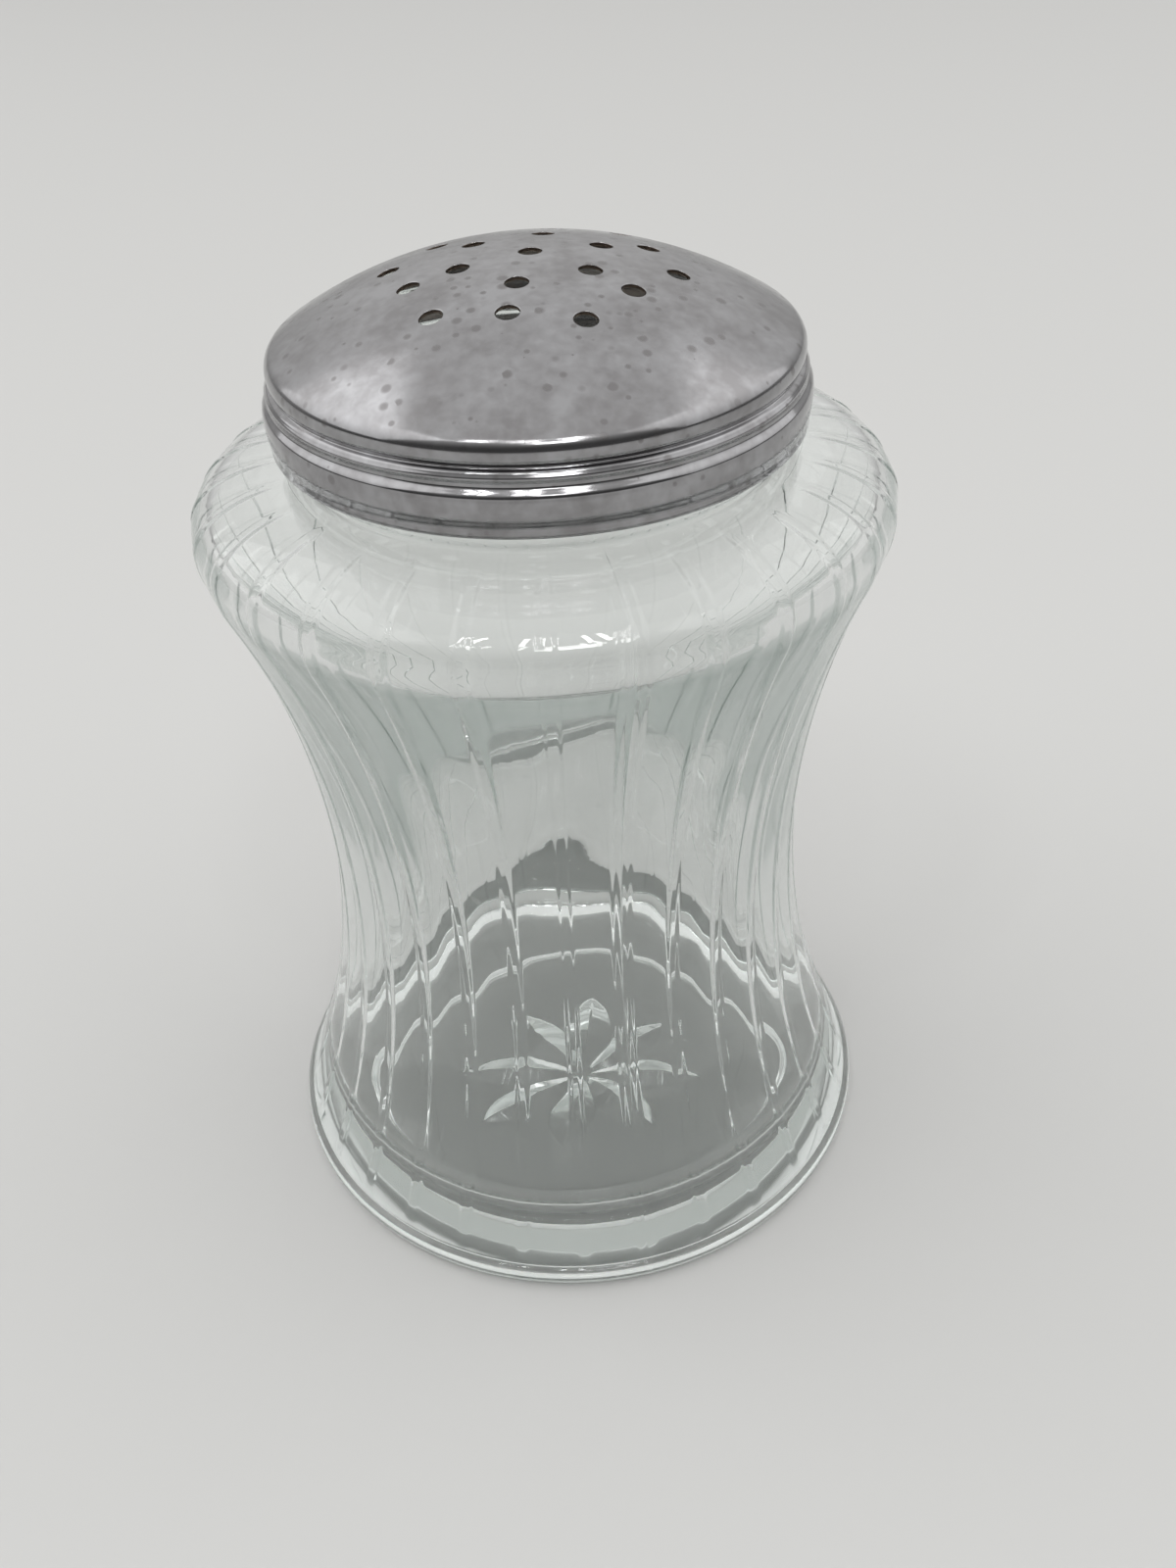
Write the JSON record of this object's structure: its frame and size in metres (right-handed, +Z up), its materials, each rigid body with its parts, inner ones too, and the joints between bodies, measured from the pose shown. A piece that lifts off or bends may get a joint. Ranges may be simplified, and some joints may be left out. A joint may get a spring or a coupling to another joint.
{
  "type": "sugar shaker",
  "caption": "Waisted pressed-glass sugar shaker with fine upright ribs, a star pressed into its base and a domed perforated metal screw lid.",
  "frame": {"origin": "middle of the foot, on the surface that the jar stands on", "axes": "+Z up along the jar's axis; the camera side of the picture is -Y, with +X to its right"},
  "size_m": [0.088, 0.088, 0.1308],
  "materials": {
    "glass": "clear pressed glass with a faint grey-green cast",
    "chrome": "chrome-plated sheet, polished with a fine haze"
  },
  "bodies": {
    "jar": {"jar_base": "glass", "jar_wall": "glass", "jar_crown": "glass"},
    "lid": {"lid": "chrome"}
  },
  "joints": [
    {"name": "lid_lift", "type": "slide", "parent": "jar", "child": "lid", "axis": [0, 0, 1], "range_m": [0, 0.04]}
  ]
}
